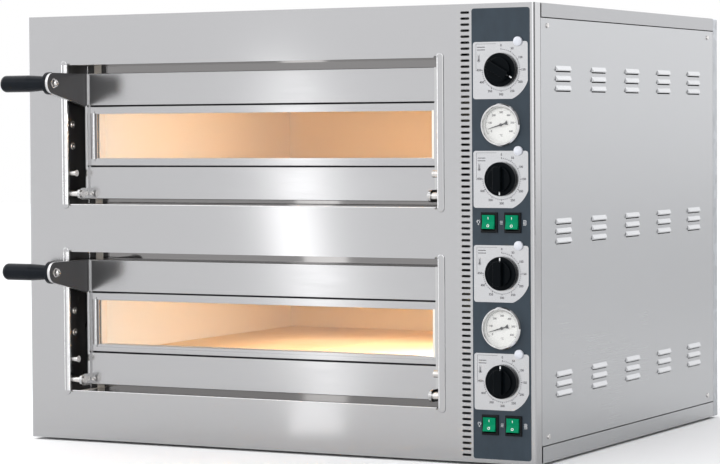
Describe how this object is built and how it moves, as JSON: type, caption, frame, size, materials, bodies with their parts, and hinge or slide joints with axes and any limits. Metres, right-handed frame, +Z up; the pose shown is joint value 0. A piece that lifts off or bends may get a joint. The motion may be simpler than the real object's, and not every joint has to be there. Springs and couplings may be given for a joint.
{
  "type": "countertop pizza oven",
  "caption": "Electric pizza oven with stacked baking decks in a steel casing, drop-down glass doors, side levers and a column of controls.",
  "frame": {"origin": "middle of the footprint, on the surface that the feet stand on", "axes": "+X to the right seen from the front, +Y from the doors to the rear, +Z up"},
  "size_m": [0.9007, 0.858, 0.682],
  "materials": {
    "fascia_steel": "satin brushed",
    "panel_steel": "satin brushed",
    "bright_steel": "bright annealed, almost a mirror",
    "galvanised_steel": "zinc coated",
    "black_steel": "black, semi-gloss",
    "lever_steel": "dark satin",
    "fastener_steel": "bright zinc",
    "chamber_steel": "aluminised, warm tinted by the lamp",
    "refractory": "matt fired clay",
    "element_sheath": "oxidised sheath",
    "mineral_wool": "packed wool",
    "lamp_glass": "frosted",
    "door_glass": "clear ceramic glass",
    "black_plastic": "moulded phenolic",
    "spindle_steel": "turned",
    "overlay_blue": "printed overlay, satin",
    "dial_silver": "fine satin, printed scale",
    "gauge_chrome": "polished",
    "gauge_white": "matt white, printed scale",
    "clear_glass": "clear",
    "needle_black": "matt",
    "lamp_lens": "translucent white",
    "switch_black": "moulded",
    "switch_green": "translucent green",
    "phenolic": "moulded",
    "rubber": "matt"
  },
  "bodies": {
    "casing": {"front_fascia": "fascia_steel", "top_cover": "panel_steel", "base_tray": "panel_steel", "left_side_panel": "panel_steel", "right_side_panel": "panel_steel", "rear_panel": "galvanised_steel", "partition_wall": "galvanised_steel", "feet": "rubber", "panel_screws": "fastener_steel", "cable_gland": "black_plastic", "terminal_block": "phenolic", "mouth_frames": "bright_steel", "recess_side_plates": "black_steel", "hinge_pins": "fastener_steel", "stop_studs": "fastener_steel", "side_plate_screws": "fastener_steel", "insulation": "mineral_wool", "chamber_lamps": "lamp_glass", "control_overlay": "overlay_blue", "dial_plates": "dial_silver", "thermostat_bodies": "phenolic", "gauge_cases": "gauge_chrome", "gauge_dials": "gauge_white", "gauge_lenses": "clear_glass", "indicator_lamps": "lamp_lens", "rocker_housings": "switch_black", "lower_chamber": "chamber_steel", "lower_baking_stones": "refractory", "lower_elements": "element_sheath", "upper_chamber": "chamber_steel", "upper_baking_stones": "refractory", "upper_elements": "element_sheath"},
    "lower_door": {"lower_door_shell": "bright_steel", "lower_door_liner": "bright_steel", "lower_door_glass": "door_glass", "lower_door_end_plates": "bright_steel", "lower_door_fasteners": "fastener_steel", "lower_lever_arm": "lever_steel", "lower_lever_grip": "black_plastic"},
    "upper_door": {"upper_door_shell": "bright_steel", "upper_door_liner": "bright_steel", "upper_door_glass": "door_glass", "upper_door_end_plates": "bright_steel", "upper_door_fasteners": "fastener_steel", "upper_lever_arm": "lever_steel", "upper_lever_grip": "black_plastic"},
    "upper_needle": {"upper_gauge_needle": "needle_black"},
    "lower_needle": {"lower_gauge_needle": "needle_black"},
    "upper_ceiling_control": {"upper_ceiling_knob": "black_plastic", "upper_ceiling_spindle": "spindle_steel"},
    "upper_floor_control": {"upper_floor_knob": "black_plastic", "upper_floor_spindle": "spindle_steel"},
    "lower_ceiling_control": {"lower_ceiling_knob": "black_plastic", "lower_ceiling_spindle": "spindle_steel"},
    "lower_floor_control": {"lower_floor_knob": "black_plastic", "lower_floor_spindle": "spindle_steel"},
    "upper_left_rocker_button": {"upper_left_rocker": "switch_green"},
    "upper_right_rocker_button": {"upper_right_rocker": "switch_green"},
    "lower_left_rocker_button": {"lower_left_rocker": "switch_green"},
    "lower_right_rocker_button": {"lower_right_rocker": "switch_green"}
  },
  "joints": [
    {"name": "lower_door_hinge", "type": "hinge", "parent": "casing", "child": "lower_door", "pos_m": [-0.03865, -0.33895, 0.099], "axis": [1, 0, 0], "range_deg": [0, 90]},
    {"name": "upper_door_hinge", "type": "hinge", "parent": "casing", "child": "upper_door", "pos_m": [-0.03865, -0.33895, 0.398], "axis": [1, 0, 0], "range_deg": [0, 90]},
    {"name": "upper_needle_turn", "type": "hinge", "parent": "casing", "child": "upper_needle", "pos_m": [0.3945, -0.35025, 0.5035], "axis": [0, 1, 0], "range_deg": [-14.6, 227.4]},
    {"name": "lower_needle_turn", "type": "hinge", "parent": "casing", "child": "lower_needle", "pos_m": [0.3945, -0.35025, 0.2045], "axis": [0, 1, 0], "range_deg": [-14.6, 227.4]},
    {"name": "upper_ceiling_knob_turn", "type": "hinge", "parent": "casing", "child": "upper_ceiling_control", "pos_m": [0.3945, -0.35195, 0.584], "axis": [0, 1, 0], "range_deg": [-120, 180]},
    {"name": "upper_floor_knob_turn", "type": "hinge", "parent": "casing", "child": "upper_floor_control", "pos_m": [0.3945, -0.35195, 0.424], "axis": [0, 1, 0], "range_deg": [-180, 120]},
    {"name": "lower_ceiling_knob_turn", "type": "hinge", "parent": "casing", "child": "lower_ceiling_control", "pos_m": [0.3945, -0.35195, 0.285], "axis": [0, 1, 0], "range_deg": [0, 300]},
    {"name": "lower_floor_knob_turn", "type": "hinge", "parent": "casing", "child": "lower_floor_control", "pos_m": [0.3945, -0.35195, 0.1255], "axis": [0, 1, 0], "range_deg": [0, 300]},
    {"name": "upper_left_rocker_tilt", "type": "hinge", "parent": "casing", "child": "upper_left_rocker_button", "pos_m": [0.3745, -0.34295, 0.36], "axis": [1, 0, 0], "range_deg": [0, 10]},
    {"name": "upper_right_rocker_tilt", "type": "hinge", "parent": "casing", "child": "upper_right_rocker_button", "pos_m": [0.4125, -0.34295, 0.36], "axis": [1, 0, 0], "range_deg": [0, 10]},
    {"name": "lower_left_rocker_tilt", "type": "hinge", "parent": "casing", "child": "lower_left_rocker_button", "pos_m": [0.3745, -0.34295, 0.061], "axis": [1, 0, 0], "range_deg": [0, 10]},
    {"name": "lower_right_rocker_tilt", "type": "hinge", "parent": "casing", "child": "lower_right_rocker_button", "pos_m": [0.4125, -0.34295, 0.061], "axis": [1, 0, 0], "range_deg": [0, 10]}
  ]
}
